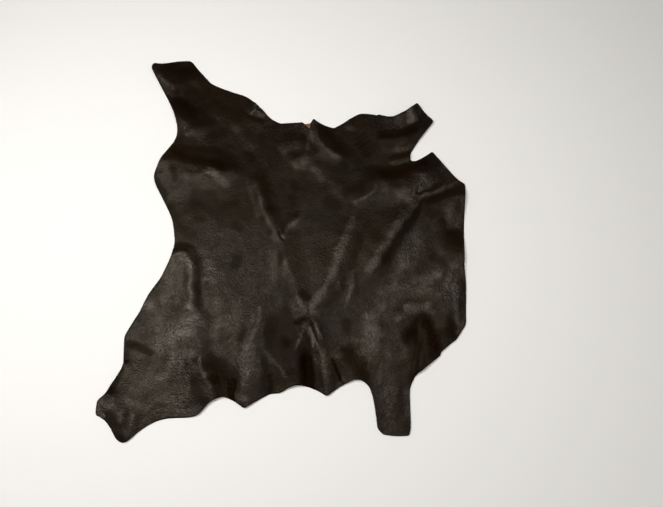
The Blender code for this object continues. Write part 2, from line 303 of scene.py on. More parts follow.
# In millimetres. height is the crest's. left and right are the widths of the flanks on
# either side of its course. start and end are the shares of the height that are left at
# the two ends: 0 dies out, 1 runs off the edge at full height. sharp is 0 for a round crest
# and 1 for a creased one.
Fold = namedtuple("Fold", "name height left right start end sharp course")
folds = withCourses(Fold, (
    ("left fore shank", 9, 64, 25, 0.9, 0.1, 0.8,
     (-336, 436), (-308, 404), (-284, 378), (-256, 352)),
    ("left fore inner", 3, 34, 26, 0.0, 0.1, 0.2, (-264, 404), (-230, 397), (-192, 384)),
    ("left neck roll", 7, 50, 46, 0.8, 0.0, 0.4,
     (-278, 306), (-250, 292), (-228, 274), (-198, 242)),
    ("left shoulder", 12, 54, 90, 0.9, 0.0, 0.5,
     (-304, 187), (-262, 179), (-222, 173), (-186, 171), (-160, 160), (-132, 147), (-100, 136)),
    ("nape", 3, 30, 24, 0.0, 0.0, 0.3, (-142, 330), (-120, 276), (-98, 246), (-76, 208)),
    ("neck edge lift", 4, 12, 30, 0.0, 0.5, 0.9, (-104, 340), (-88, 328), (-72, 316), (-50, 300)),
    ("neck pleat", 4, 13, 80, 0.0, 0.0, 0.7, (-122, 316), (-100, 298), (-76, 285), (-50, 279)),
    ("left back upper", 7, 34, 24, 0.1, 0.7, 0.8,
     (-86, 168), (-70, 122), (-58, 90), (-43, 52), (-34, 32), (-14, 4)),
    ("left back lower", 6, 44, 30, 0.8, 0.9, 0.8,
     (-14, 4), (-2, -40), (9, -75), (23, -110), (35, -140), (47, -174)),
    ("left back strand", 4, 18, 28, 0.0, 0.0, 0.3, (-32, 14), (-18, -30), (-14, -70), (-14, -108)),
    ("right back", 6, 56, 42, 0.9, 0.0, 0.6,
     (50, -176), (63, -152), (80, -122), (98, -90), (120, -50), (140, 0), (154, 50), (164, 86)),
    ("back cross", 2, 30, 24, 0.7, 0.0, 0.4, (-12, 2), (0, 22), (14, 40), (38, 58)),
    ("loin", 3, 16, 18, 0.0, 0.0, 0.4, (151, -62), (148, -95), (145, -125), (137, -155)),
    ("long wrinkle", 7.5, 60, 30, 0.0, 0.9, 0.8,
     (160, -112), (180, -84), (207, -46), (229, 0), (248, 28), (270, 50), (292, 80)),
    ("long wrinkle end", 4, 30, 20, 0.9, 0.8, 0.7,
     (292, 80), (308, 97), (334, 109), (362, 122), (404, 145)),
    ("right hip", 9, 30, 60, 0.2, 0.8, 0.5, (296, 60), (330, 78), (364, 92), (408, 106)),
    ("shoulder tip", 4, 34, 24, 0.0, 0.7, 0.6, (142, 78), (168, 95), (190, 108), (202, 132)),
    ("right shoulder", 12, 46, 72, 0.4, 0.4, 0.4,
     (196, 134), (228, 132), (256, 136), (286, 148), (320, 158), (354, 174)),
    ("right fore fold", 9, 24, 36, 0.0, 0.6, 0.5,
     (200, 238), (238, 241), (274, 246), (304, 268), (326, 284)),
    ("right fore shank", 4, 34, 60, 0.6, 0.5, 0.4, (304, 338), (299, 305), (298, 276)),
    ("fore leg face", 13, 20, 50, 0.3, 0.2, 0.7, (238, 306), (268, 319), (302, 334)),
    ("notch lip", 5, 16, 12, 0.0, 0.7, 0.7, (228, 180), (256, 187), (284, 198)),
    ("tent right", 7.5, 30, 36, 1.0, 0.5, 0.9,
     (58, 290), (62, 264), (71, 240), (90, 214), (110, 203), (130, 194)),
    ("tent apex", 7, 13, 13, 1.0, 0.0, 0.6, (54, 364), (58, 290), (60, 250)),
    ("tent foot", 5, 78, 32, 0.2, 0.4, 0.7, (-2, 178), (18, 192), (38, 196), (62, 180)),
    ("tent tail", 1.5, 56, 36, 0.5, 0.0, 0.3, (50, 187), (80, 165), (110, 138), (150, 96)),
    ("neck right", 3, 24, 14, 0.8, 0.0, 0.6, (146, 298), (143, 280), (142, 260)),
    ("left flank", 6.5, 24, 56, 0.7, 0.2, 0.8,
     (-262, -36), (-240, -31), (-218, -36), (-207, -62), (-204, -98), (-202, -132), (-198, -162),
     (-180, -205)),
    ("left flank inner", 3, 60, 26, 0.0, 0.0, 0.4,
     (-168, -45), (-162, -95), (-146, -148), (-142, -215)),
    ("left hind crease", 2.5, 26, 62, 0.9, 0.0, 0.4,
     (-342, -246), (-312, -248), (-284, -256), (-260, -268)),
    ("left rump", 9.5, 46, 86, 0.0, 0.9, 0.85,
     (-176, -150), (-172, -200), (-178, -250), (-169, -280), (-158, -303), (-147, -322),
     (-132, -348)),
    ("rump left crest", 6, 50, 42, 0.0, 0.8, 0.3,
     (-44, -112), (-54, -146), (-64, -190), (-70, -225), (-73, -262), (-76, -305), (-82, -352)),
    ("rump left strand", 2.5, 30, 12, 0.1, 0.6, 0.8,
     (-46, -146), (-48, -190), (-46, -236), (-38, -254), (-14, -275), (3, -291), (10, -322)),
    ("rump middle", 11, 36, 56, 0.3, 0.9, 0.7,
     (47, -186), (37, -210), (27, -245), (27, -280), (30, -318)),
    ("rump right crest", 6, 46, 15, 0.5, 0.8, 0.7, (53, -184), (66, -222), (80, -262), (92, -334)),
    ("rump right flap", 8, 46, 40, 0.2, 0.9, 0.7,
     (114, -232), (122, -252), (132, -278), (144, -308)),
    ("right hind leg", 2.5, 60, 62, 0.1, 0.4, 0.3,
     (206, -124), (208, -180), (214, -230), (224, -290), (231, -350), (234, -416)),
    ("haunch ridge", 7, 42, 60, 0.5, 0.5, 0.6, (274, -172), (256, -194), (246, -218), (246, -244)),
    ("haunch pleat", 8, 40, 18, 0.3, 0.9, 0.7,
     (286, -172), (293, -186), (297, -212), (294, -245), (286, -282)),
    ("right haunch edge", 4, 30, 50, 0.0, 0.8, 0.5,
     (340, -90), (338, -140), (336, -190), (334, -238)),
    ("right edge", 2.2, 20, 60, 0.0, 0.8, 0.6, (380, -50), (374, -110), (369, -160), (367, -206)),
    ("right belly", 7, 56, 76, 0.0, 0.8, 0.2, (322, -32), (395, -36)),
    ("left hind hem", 5, 14, 40, 0.3, 0.4, 0.7, (-360, -338), (-346, -308), (-331, -278)),
    ("left foot", 2.5, 22, 36, 0.6, 0.6, 0.5, (-380, -352), (-354, -362), (-346, -404)),
    ("left foot inner", 3, 20, 26, 0.0, 0.7, 0.4, (-298, -345), (-305, -385), (-314, -428)),
))

# Narrow creases and ridges on top of the folds, in the same columns. A negative height is a
# trough.
creases = withCourses(Fold, (
    ("rump slit", -5, 2, 2, 0.3, 1.0, 1.0, (101, -262), (110, -284), (124, -316)),
    ("pinch fissure", -4, 4, 3, 0.2, 0.2, 1.0, (-17, 19), (-15, 6), (-7, -4)),
    ("star fissure", -4, 3, 4, 0.5, 0.2, 0.8, (53, -180), (60, -196), (71, -225)),
    ("star hollow", -2, 12, 9, 0.0, 0.6, 0.3, (18, -184), (34, -185), (47, -180)),
    ("star ledge", 1.5, 9, 6, 0.6, 0.2, 0.6, (60, -180), (69, -196), (78, -222)),
    ("neck spot", -5, 6, 6, 0.9, 0.0, 0.6, (105, 276), (104, 262), (106, 246)),
    ("neck diagonal", 1.2, 4, 5, 0.3, 0.6, 0.7, (-97, 304), (-86, 316), (-76, 330)),
    ("hind nick", -4, 4, 4, 0.9, 0.0, 0.8, (-342, -272), (-332, -270), (-322, -267)),
    ("rump wedge", -7, 16, 18, 0.0, 0.9, 0.2, (52, -236), (50, -270), (52, -318)),
    ("shoulder crease", -1.2, 5, 5, 0.0, 0.0, 0.6, (300, 126), (294, 112), (297, 100)),
    ("leg thread one", 0.5, 6, 6, 0.0, 0.4, 0.4,
     (222, -296), (214, -330), (222, -372), (238, -404)),
    ("leg thread two", 0.5, 6, 6, 0.0, 0.4, 0.4,
     (244, -300), (232, -340), (216, -384), (214, -414)),
    ("leg thread three", 0.5, 5, 6, 0.0, 0.0, 0.4, (206, -250), (204, -290), (198, -330)),
    ("tent left", 2.6, 9, 9, 0.9, 0.2, 0.6, (57, 290), (51, 262), (46, 235), (40, 203)),
    ("neck hatch one", 0.7, 5, 5, 0.0, 0.0, 0.7, (146, 214), (166, 232), (188, 250)),
    ("neck hatch two", 0.7, 5, 5, 0.0, 0.0, 0.7, (150, 228), (168, 246), (180, 258)),
    ("neck hatch three", 0.6, 5, 5, 0.0, 0.0, 0.7, (160, 212), (176, 224), (194, 236)),
    ("fore leg edge", 5, 14, 26, 0.6, 0.2, 0.5, (303, 334), (300, 312), (299, 290)),
    ("hip line start", 3, 10, 14, 0.0, 0.4, 0.5, (290, 95), (308, 103), (332, 113)),
))

# Low swells of the skin, in the columns of an oval: its middle, half its sizes and its height
# in millimetres, and how far it is turned in degrees.
Oval = namedtuple("Oval", "x y long short turn strength")
swells = [Oval(*row) for row in (
    (-292, 158, 26, 18, 90, 2.0), (-124, 64, 36, 30, 0, 1.8), (-215, 40, 70, 45, 60, 2.0),
    (62, -60, 60, 34, 80, 1.5), (190, 50, 48, 34, 50, 1.8), (120, 118, 36, 24, -40, 1.5),
    (8, 232, 44, 30, 10, 3.0), (-150, 300, 70, 26, -40, 1.5), (-225, -205, 60, 48, 20, 3.0),
    (-285, -140, 70, 30, 65, 2.0), (-265, -310, 60, 40, 30, 2.0), (-130, -195, 44, 26, 80, 1.6),
    (258, -35, 52, 26, 75, 2.2), (192, -200, 60, 34, 85, 2.4), (374, 74, 40, 18, 80, 2.5),
    (262, 296, 34, 22, 30, 1.6), (262, 228, 32, 12, 25, 1.6), (232, -350, 50, 22, 85, 1.6),
)]

skin = {
    "thickness": 1.2 * mm,
    "cell": 3.6 * mm,  # side of the sheet's facets
    "fineReach": 6 * mm,  # how far from a crease the facets are halved
    "edgeStep": 3.5 * mm,  # longest straight piece of the outline
    "leastEdge": 0.8 * mm,  # points closer than this become one
    "cornerPieces": 5,  # straight pieces round each softened corner
    "cornerShare": 0.45,  # most of an edge that one corner's rounding takes
    "crestBluntness": 0.10,  # how round a creased fold's crest is, as a share of its flank
    "flankPower": 1.3,  # 1 for straight flanks, more for flanks that flatten out at their foot
    "endTaper": 0.35,  # share of a fold's course over which it rises or dies out
    "blend": 3.0,  # how sharply crossing folds merge
    "curvePieces": 6,  # straight pieces between two points of a fold's course
    "strayReach": 3.5 * mm,  # how far the folds wander from their courses
    "straySize": 42 * mm,
    "unevenness": 0.3,  # how much a fold's height varies along it
    "unevenSize": 30 * mm,
    "paintedLightStray": 5 * mm,  # how far the streaks of painted highlight and shade wander
    "paintedLightStraySize": 16 * mm,
    "layerGap": 7.3,  # how far apart in the noise two of its layers are
    "bedHeight": 0.7 * mm,  # mean height of the skin between its folds
    "ripples": ((70 * mm, 0.9 * mm), (28 * mm, 0.55 * mm), (11 * mm, 0.20 * mm)),  # size, height
}

# from a place on the object to the same place in the tables' frame
toMark = Vector((10.7, 11.0, 0.0)) * mm


def bowed(here, there, bow, share):
    # the point at this share of the way along an edge that swells outwards by bow
    run = there - here
    outwards = Vector((-run.y, run.x)).normalized()
    return here + run * share + outwards * (4.0 * bow * share * (1.0 - share))


def outlinePoints():
    corners = [Corner(*row) for side in outline.values() for row in side]
    count = len(corners)
    places = [Vector((corner.x, corner.y)) * mm for corner in corners]
    bows = [corner.bow * mm for corner in corners]
    lengths = [(places[(i + 1) % count] - places[i]).length for i in range(count)]
    softs = [
        min(corners[i].soft * mm, skin["cornerShare"] * lengths[i],
            skin["cornerShare"] * lengths[i - 1])
        for i in range(count)
    ]
    points = []
    for i in range(count):
        after = (i + 1) % count
        first = softs[i] / lengths[i]
        last = 1.0 - softs[after] / lengths[i]
        enter = bowed(places[i - 1], places[i], bows[i - 1], 1.0 - softs[i] / lengths[i - 1])
        leave = bowed(places[i], places[after], bows[i], first)
        for j in range(skin["cornerPieces"]):
            t = j / skin["cornerPieces"]
            points.append(enter * (1 - t) ** 2 + places[i] * (2 * t * (1 - t)) + leave * t**2)
        pieces = max(1, round((last - first) * lengths[i] / skin["edgeStep"]))
        for j in range(pieces):
            share = first + (last - first) * j / pieces
            points.append(bowed(places[i], places[after], bows[i], share))
    return points


def smoothCourse(course):
    # a course as a smooth curve through its own points
    points = [Vector(point) * mm for point in course]
    padded = [2 * points[0] - points[1], *points, 2 * points[-1] - points[-2]]
    line = []
    for p0, p1, p2, p3 in zip(padded, padded[1:], padded[2:], padded[3:]):
        for j in range(skin["curvePieces"]):
            t = j / skin["curvePieces"]
            line.append(
                0.5 * (2 * p1 + (p2 - p0) * t + (2 * p0 - 5 * p1 + 4 * p2 - p3) * t**2
                       + (3 * p1 - p0 - 3 * p2 + p3) * t**3)
            )
    return line + [points[-1]]


def rise(fromEnd, leftOver):
    # the share of a fold's height at this share of its course from one end
    t = np.clip(fromEnd / skin["endTaper"], 0.0, 1.0)
    return leftOver + (1.0 - leftOver) * t * t * (3.0 - 2.0 * t)


def wander(x, y, size, layer):
    # smooth noise at each place, mostly between -1 and 1, from one of many separate layers
    depth = skin["layerGap"] * layer
    return np.array([noise.noise((u / size, v / size, depth)) for u, v in zip(x, y)])


def nearestOn(course, x, y):
    # for each place: the distance to the course, the share along it, and the side it lies on
    line = smoothCourse(course)
    total = sum((b - a).length for a, b in zip(line, line[1:]))
    nearest = np.full(len(x), np.inf)
    along = np.zeros(len(x))
    lean = np.zeros(len(x))
    travelled = 0.0
    for a, b in zip(line, line[1:]):
        run = b - a
        t = np.clip(((x - a.x) * run.x + (y - a.y) * run.y) / run.length_squared, 0.0, 1.0)
        dx, dy = x - a.x - t * run.x, y - a.y - t * run.y
        distance = np.maximum(np.hypot(dx, dy), 1e-9)
        closer = distance < nearest
        nearest = np.where(closer, distance, nearest)
        along = np.where(closer, (travelled + t * run.length) / total, along)
        lean = np.where(closer, (run.x * dy - run.y * dx) / (run.length * distance), lean)
        travelled += run.length
    return nearest, along, lean


def foldHeight(fold, x, y):
    # the height of one fold at each place: two flanks that fall away from its course
    nearest, along, lean = nearestOn(fold.course, x, y)
    width = (fold.right + (fold.left - fold.right) * (0.5 + 0.5 * lean)) * mm
    blunt = skin["crestBluntness"]
    reach = np.minimum(nearest / width, 1.0)
    creased = (np.hypot(reach, blunt) - blunt) / (np.hypot(1.0, blunt) - blunt)
    crest = fold.height * mm * rise(along, fold.start) * rise(1.0 - along, fold.end)
    creasedFlank = (1.0 - creased) ** skin["flankPower"]
    roundFlank = (1.0 - reach**2) ** 2
    return crest * (fold.sharp * creasedFlank + (1.0 - fold.sharp) * roundFlank)


def inOval(oval, x, y):
    # 1 in the middle of an oval, and 0 from its rim on
    turn = math.radians(oval.turn)
    dx, dy = x - oval.x * mm, y - oval.y * mm
    u = (dx * math.cos(turn) + dy * math.sin(turn)) / (oval.long * mm)
    v = (dy * math.cos(turn) - dx * math.sin(turn)) / (oval.short * mm)
    return np.maximum(1.0 - u**2 - v**2, 0.0)


def lift(x, y):
    # the height of the skin's underside at each place
    strayX = x + skin["strayReach"] * wander(x, y, skin["straySize"], 1)
    strayY = y + skin["strayReach"] * wander(x, y, skin["straySize"], 2)
    uneven = 1.0 + skin["unevenness"] * wander(x, y, skin["unevenSize"], 3)
    heights = [foldHeight(fold, strayX, strayY) * uneven for fold in folds]
    broad = sum(height ** skin["blend"] for height in heights) ** (1.0 / skin["blend"])
    low = sum(swell.strength * mm * inOval(swell, x, y) ** 2 for swell in swells)
    for layer, (size, height) in enumerate(skin["ripples"], 4):
        low += height * wander(x, y, size, layer)
    narrow = sum(foldHeight(crease, x, y) for crease in creases)
    return np.maximum(skin["bedHeight"] + broad + low + narrow, 0.0)


def flatSheet():
    # the outline as one face, cut into a grid of facets that is halved beside the creases
    sheet = bmesh.new()
    rim = [sheet.verts.new((point.x, point.y, 0.0)) for point in reversed(outlinePoints())]
    sheet.faces.new(rim)
    cell = skin["cell"]
    for axis in (Vector((1, 0, 0)), Vector((0, 1, 0))):
        reach = [vert.co.dot(axis) for vert in rim]
        for step in range(math.ceil(min(reach) / cell), math.ceil(max(reach) / cell)):
            bmesh.ops.bisect_plane(
                sheet,
                geom=[*sheet.verts, *sheet.edges, *sheet.faces],
                plane_co=axis * step * cell,
                plane_no=axis,
            )
    bmesh.ops.remove_doubles(sheet, verts=sheet.verts, dist=skin["leastEdge"])
    middles = [edge.verts[0].co.lerp(edge.verts[1].co, 0.5) for edge in sheet.edges]
    x = np.array([middle.x for middle in middles])
    y = np.array([middle.y for middle in middles])
    near = np.zeros(len(x), bool)
    for crease in creases:
        near |= nearestOn(crease.course, x, y)[0] < skin["fineReach"]
    bmesh.ops.subdivide_edges(
        sheet,
        edges=[edge for edge, chosen in zip(sheet.edges, near) if chosen],
        cuts=1,
        use_grid_fill=True,
    )
    bmesh.ops.triangulate(sheet, faces=sheet.faces)
    bmesh.ops.dissolve_degenerate(sheet, edges=sheet.edges, dist=skin["leastEdge"] / 2)
    return sheet


def foldSheet(sheet):
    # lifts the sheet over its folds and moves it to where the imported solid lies
    x = np.array([vert.co.x for vert in sheet.verts])
    y = np.array([vert.co.y for vert in sheet.verts])
    for vert, height in zip(sheet.verts, lift(x, y)):
        vert.co.z = height
    bmesh.ops.translate(sheet, verts=sheet.verts, vec=-toMark)


# The neck edge's small flap, in millimetres: where it hinges, the corner that it turns over
# to, and for each row of it how far out and up it lies and how near it is to that corner.
flap = {
    "hinge": ((36, 51), (272, 281)),
    "tip": 49,
    "rows": ((1.4, 0.3, 0.0), (1.8, 1.8, 0.0), (0.8, 3.4, 0.0), (-4.0, 3.8, 0.25),
             (-9.0, 3.5, 0.6), (-13.5, 3.1, 0.96)),
}


def onHinge(vert):
    (left, right), (low, high) = flap["hinge"]
    return (left * mm < vert.co.x + toMark.x < right * mm
            and low * mm < vert.co.y + toMark.y < high * mm)


def turnFlap(sheet):
    # folds a corner of the neck edge over, so that its flesh side shows
    border = [edge for edge in sheet.edges if edge.is_boundary and all(map(onHinge, edge.verts))]
    tip = flap["tip"] * mm - toMark.x
    hinges = {vert: vert.co.copy() for edge in border for vert in edge.verts}
    for out, up, share in flap["rows"]:
        made = bmesh.ops.extrude_edge_only(sheet, edges=border)["geom"]
        fresh = [item for item in made if isinstance(item, bmesh.types.BMVert)]
        # each new point keeps the place on the hinge that it came from
        hinges = {
            vert: hinges[edge.other_vert(vert)]
            for vert in fresh for edge in vert.link_edges if edge.other_vert(vert) in hinges
        }
        for vert, hinge in hinges.items():
            vert.co = hinge + Vector((0.0, out, up)) * mm
            vert.co.x += (tip - vert.co.x) * share
        border = list(dict.fromkeys(
            edge for vert in fresh for edge in vert.link_edges if edge.other_vert(vert) in hinges))


# Painted highlights and painted shade, laid into the finish as streaks of polish along the folds:
# more polished where the strength is positive, and duller, down to matt, where it is negative, for
# each part of the skin. width is half the streak's, in millimetres.
PaintedLightStreak = namedtuple("PaintedLightStreak", "strength width course")
paintedLightStreaks = {
    "left fore leg": (
        (1.2, 11, (-326, 413), (-312, 399), (-298, 386), (-282, 374)),
        (-1.1, 26, (-268, 334), (-250, 322), (-232, 308)),
        (-1.0, 30, (-292, 428), (-262, 418), (-238, 424)),
        (-0.9, 12, (-284, 372), (-278, 366), (-270, 362)),
        (-0.5, 14, (-268, 352), (-254, 340), (-244, 330)),
        (-0.6, 16, (-212, 380), (-198, 368)),
    ),
    "left shoulder": (
        (0.8, 15, (-184, 160), (-162, 148), (-144, 126)),
        (1.3, 12, (-300, 180), (-298, 164)),
        (1.0, 6, (-243, 268), (-241, 258), (-238, 252)),
        (-1.3, 20, (-264, 208), (-234, 191), (-206, 183), (-150, 170)),
        (-0.25, 24, (-204, 98), (-172, 100)),
        (-0.35, 14, (-264, 162), (-258, 150), (-256, 138)),
        (-0.6, 16, (-252, 241), (-226, 237)),
        (-0.55, 14, (-299, 132), (-290, 114), (-280, 100)),
        (0.4, 12, (-284, 172), (-280, 158)),
    ),
    "neck": (
        (0.5, 10, (-90, 312), (-76, 314), (-60, 303)),
        (-0.7, 16, (-96, 202), (-84, 192)),
        (1.0, 6, (-81, 328), (-76, 322)),
    ),
    "neck tent": (
        (0.6, 12, (20, 168), (32, 172), (40, 184)),
        (1.0, 4, (61, 286), (65, 264), (69, 246), (80, 226)),
        (0.6, 9, (92, 212), (104, 200), (119, 188)),
        (-0.9, 22, (84, 262), (100, 246), (116, 226)),
        (1.0, 4, (56, 284), (52, 262), (46, 238), (41, 216)),
        (0.6, 14, (52, 252), (48, 232), (44, 214)),
        (0.35, 22, (2, 232), (14, 224), (26, 222)),
        (0.5, 22, (-12, 262), (12, 256), (32, 262)),
        (-0.7, 3, (48, 268), (52, 267), (55, 270)),
        (0.8, 4, (6, 272), (20, 276), (34, 282)),
        (-0.5, 12, (2, 194), (12, 190)),
        (-0.7, 18, (166, 224), (180, 208)),
        (0.8, 4, (36, 279), (42, 277)),
        (-0.6, 14, (122, 186), (130, 172)),
        (0.8, 9, (32, 266), (44, 258)),
        (1.4, 7, (57, 288), (58, 276)),
    ),
    "right fore leg": (
        (2.2, 12, (285, 322), (282, 308), (284, 290)),
        (0.4, 10, (256, 212), (272, 218), (288, 226)),
        (-1.1, 15, (214, 250), (252, 246), (290, 260)),
        (-0.4, 13, (226, 226), (240, 222)),
    ),
    "right shoulder": (
        (0.6, 7, (252, 180), (264, 185), (276, 192)),
        (0.7, 24, (258, 104), (284, 106), (306, 130), (330, 148)),
        (-1.2, 22, (206, 156), (256, 158), (312, 176)),
        (-0.4, 12, (300, 86), (340, 98), (392, 112)),
        (1.3, 4, (302, 98), (334, 110), (364, 122), (398, 138)),
        (0.6, 20, (384, 88), (380, 62), (378, 40)),
        (0.4, 16, (352, 66), (362, 50), (366, 30)),
        (0.9, 13, (274, 90), (288, 93)),
        (-0.8, 19, (316, 76), (324, 56)),
        (-0.6, 12, (220, 142), (248, 140), (270, 142)),
        (-0.5, 14, (238, 128), (256, 114)),
        (1.5, 6, (306, 99), (322, 103)),
        (0.8, 14, (350, 168), (360, 178)),
        (-0.4, 14, (344, 38), (350, 32)),
        (-0.6, 9, (332, 122), (346, 127)),
        (0.4, 10, (250, 66), (258, 58)),
    ),
    "back": (
        (0.9, 10, (-8, 6), (8, 28), (30, 50)),
        (1.0, 14, (58, 172), (68, 158), (75, 144)),
        (-0.6, 10, (-58, 140), (-50, 108), (-36, 66)),
        (-0.5, 22, (92, 84), (110, 76)),
        (-0.4, 16, (12, 96), (10, 82)),
        (-0.4, 16, (14, 130), (16, 120)),
    ),
    "left back": (
        (0.4, 9, (-76, 140), (-66, 116), (-58, 90)),
        (-0.5, 14, (-58, 42), (-42, 19)),
        (-0.3, 44, (-206, 92), (-168, 80), (-138, 52)),
        (-0.3, 14, (-90, 92), (-82, 74)),
        (-0.6, 8, (-38, 14), (-36, 8)),
        (-0.35, 16, (-206, 48), (-192, 44)),
        (-0.4, 18, (-114, 30), (-104, 22)),
    ),
    "left flank": (
        (0.6, 6, (-250, -36), (-222, -38), (-208, -66), (-204, -120), (-198, -160)),
        (0.45, 36, (-252, -66), (-248, -96), (-244, -128)),
        (-0.3, 30, (-238, 26), (-216, 6)),
        (0.7, 8, (-232, -48), (-222, -50), (-211, -64)),
        (-0.4, 20, (-264, 68), (-252, 54)),
        (-0.8, 8, (-250, -32), (-240, -30)),
        (-0.4, 10, (-258, -58), (-254, -70)),
        (0.6, 8, (-213, -30), (-200, -43)),
        (0.5, 10, (-201, -68), (-198, -88)),
    ),
    "left haunch": (
        (0.75, 30, (-252, -232), (-226, -208), (-196, -184)),
        (0.6, 14, (-232, -262), (-212, -256), (-192, -256)),
        (0.2, 5, (-320, -250), (-308, -256), (-294, -264)),
        (-0.8, 10, (-332, -232), (-306, -238), (-280, -248)),
        (1.2, 9, (-204, -152), (-192, -160), (-185, -172)),
        (0.4, 38, (-262, -198), (-230, -202), (-196, -200)),
        (0.6, 13, (-236, -232), (-229, -250)),
        (-0.2, 14, (-318, -172), (-312, -182)),
        (0.7, 16, (-238, -280), (-214, -274)),
        (0.5, 20, (-298, -142), (-284, -158)),
        (-0.4, 10, (-336, -246), (-326, -250)),
    ),
    "left hind leg": (
        (-0.6, 16, (-352, -374), (-346, -386), (-336, -398)),
        (0.15, 60, (-330, -300), (-280, -320), (-220, -330)),
        (0.3, 8, (-374, -350), (-364, -358), (-352, -356)),
        (0.3, 8, (-334, -372), (-328, -382), (-330, -392)),
        (-0.9, 12, (-332, -414), (-322, -424)),
        (0.3, 24, (-262, -346), (-236, -352), (-214, -350)),
        (2.2, 10, (-386, -358), (-378, -370), (-368, -378)),
        (-0.9, 11, (-354, -324), (-346, -306), (-336, -288)),
        (-0.5, 15, (-336, -258), (-326, -268)),
        (0.7, 16, (-212, -370), (-192, -372), (-176, -366)),
        (-0.5, 14, (-258, -354), (-248, -354)),
        (0.7, 9, (-306, -380), (-304, -396)),
        (0.4, 16, (-258, -302), (-246, -306)),
        (0.5, 12, (-324, -346), (-314, -352)),
    ),
    "spine": (
        (0.15, 12, (-30, -12), (-27, -50), (-26, -90)),
        (0.25, 6, (-2, -52), (4, -74), (20, -100)),
        (-0.9, 11, (34, -124), (42, -130), (50, -136)),
        (-0.25, 22, (-2, -104), (8, -126)),
        (-0.35, 12, (-14, -40), (-14, -58)),
        (-0.15, 18, (-52, -86), (-52, -104)),
        (-0.4, 9, (76, -112), (84, -104)),
    ),
    "belly": (
        (0.5, 16, (-168, -58), (-158, -76), (-154, -94)),
        (-0.3, 9, (-198, -60), (-191, -100), (-184, -150)),
        (0.4, 20, (-106, -144), (-116, -192)),
        (-0.45, 16, (-108, -44), (-112, -60)),
        (0.4, 14, (-144, -78), (-140, -92)),
        (0.5, 10, (-174, -74), (-170, -92)),
        (0.4, 10, (-68, -166), (-66, -184)),
        (0.4, 13, (-146, -140), (-142, -156)),
    ),
    "left rump": (
        (0.35, 20, (-74, -240), (-76, -270), (-78, -312)),
        (0.7, 7, (-54, -156), (-57, -186), (-68, -220)),
        (1.0, 6, (-176, -262), (-166, -290), (-148, -320)),
        (-1.0, 34, (-152, -278), (-128, -292), (-106, -310)),
        (-0.7, 12, (-26, -298), (-24, -312), (-28, -328)),
        (-0.4, 26, (-44, -270), (-36, -296), (-34, -322)),
        (-0.7, 15, (-186, -312), (-176, -332), (-160, -346)),
        (-2.6, 12, (-105, -312), (-106, -328), (-107, -344)),
        (-1.0, 17, (-144, -306), (-138, -322), (-130, -340)),
        (0.25, 20, (-140, -188), (-138, -210), (-142, -230)),
        (0.5, 9, (-78, -344), (-76, -356)),
        (0.4, 14, (-56, -268), (-53, -292)),
        (-0.45, 13, (-87, -202), (-92, -222)),
        (-0.5, 10, (-184, -262), (-180, -270)),
        (0.45, 14, (-153, -200), (-144, -222), (-142, -252)),
        (0.4, 12, (-198, -300), (-193, -316)),
    ),
    "rump": (
        (0.7, 9, (66, -138), (60, -150), (60, -164)),
        (0.4, 9, (28, -130), (36, -150), (44, -166)),
        (0.7, 6, (64, -188), (72, -206), (76, -222)),
        (0.7, 5, (42, -198), (34, -216), (24, -244)),
        (1.4, 8, (54, -200), (60, -222), (66, -242)),
        (0.4, 6, (-47, -190), (-45, -240), (-30, -260), (-8, -278), (4, -300)),
        (-0.7, 52, (-16, -206), (-4, -228), (12, -250)),
        (-1.8, 20, (49, -266), (51, -286), (53, -322)),
        (-1.1, 9, (20, -184), (32, -186), (44, -183)),
        (-0.35, 44, (-8, -300), (30, -296), (70, -300), (110, -290)),
        (-0.4, 16, (0, -160), (8, -172)),
        (0.5, 9, (64, -162), (68, -178)),
        (-0.4, 16, (2, -224), (8, -234)),
    ),
    "right rump": (
        (-0.7, 20, (136, -256), (150, -276), (164, -296)),
        (0.5, 12, (80, -250), (86, -284), (88, -322)),
        (-0.35, 16, (131, -186), (131, -200)),
        (0.5, 13, (148, -222), (160, -224)),
        (-0.5, 10, (168, -260), (172, -272)),
        (0.35, 13, (172, -212), (177, -226)),
        (0.5, 12, (120, -308), (116, -320)),
        (-2.0, 5, (104, -264), (110, -284), (117, -306)),
    ),
    "right back": (
        (0.8, 5, (152, 84), (176, 96), (194, 110), (200, 126)),
        (1.0, 12, (62, -148), (82, -118), (98, -88), (110, -55), (124, -20), (140, 24), (146, 44)),
        (0.5, 7, (147, -74), (142, -110), (133, -150)),
        (1.0, 11, (112, -32), (124, -6), (134, 20), (144, 42)),
        (-0.2, 16, (100, -142), (132, -92), (152, -34), (168, 24)),
        (-0.6, 16, (132, 108), (160, 124), (188, 144)),
        (-0.4, 24, (184, 32), (196, 4)),
        (0.35, 12, (137, -80), (134, -98)),
        (0.5, 10, (112, -100), (114, -114)),
    ),
    "right flank": (
        (0.9, 13, (184, -70), (196, -50), (214, -20), (236, 15), (258, 46), (284, 74)),
        (1.0, 30, (286, 0), (276, -20), (266, -50)),
        (0.6, 20, (212, -120), (250, -106), (288, -94), (326, -86)),
        (-0.35, 15, (218, -50), (232, -28), (250, 4), (272, 36), (296, 68)),
        (0.6, 17, (236, -94), (246, -78), (256, -60)),
    ),
    "right edge": (
        (0.9, 9, (366, -60), (352, -90), (342, -120)),
        (0.8, 9, (366, -100), (366, -150), (368, -190)),
        (0.3, 12, (390, -84), (386, -130), (384, -180)),
        (-0.8, 22, (364, 14), (374, 6), (380, -6)),
        (1.1, 14, (304, -94), (316, -88), (326, -84)),
        (0.2, 40, (350, -120), (345, -60)),
        (-0.5, 18, (326, -42), (342, -56)),
        (0.8, 20, (284, -124), (304, -118), (322, -124)),
        (0.5, 18, (384, -34), (380, -60), (376, -86)),
        (1.2, 16, (356, -112), (349, -136), (346, -158)),
        (0.5, 12, (304, -102), (314, -100)),
    ),
    "right haunch": (
        (1.3, 13, (262, -154), (282, -156), (300, -152)),
        (0.6, 7, (172, -172), (188, -175), (202, -166), (212, -148)),
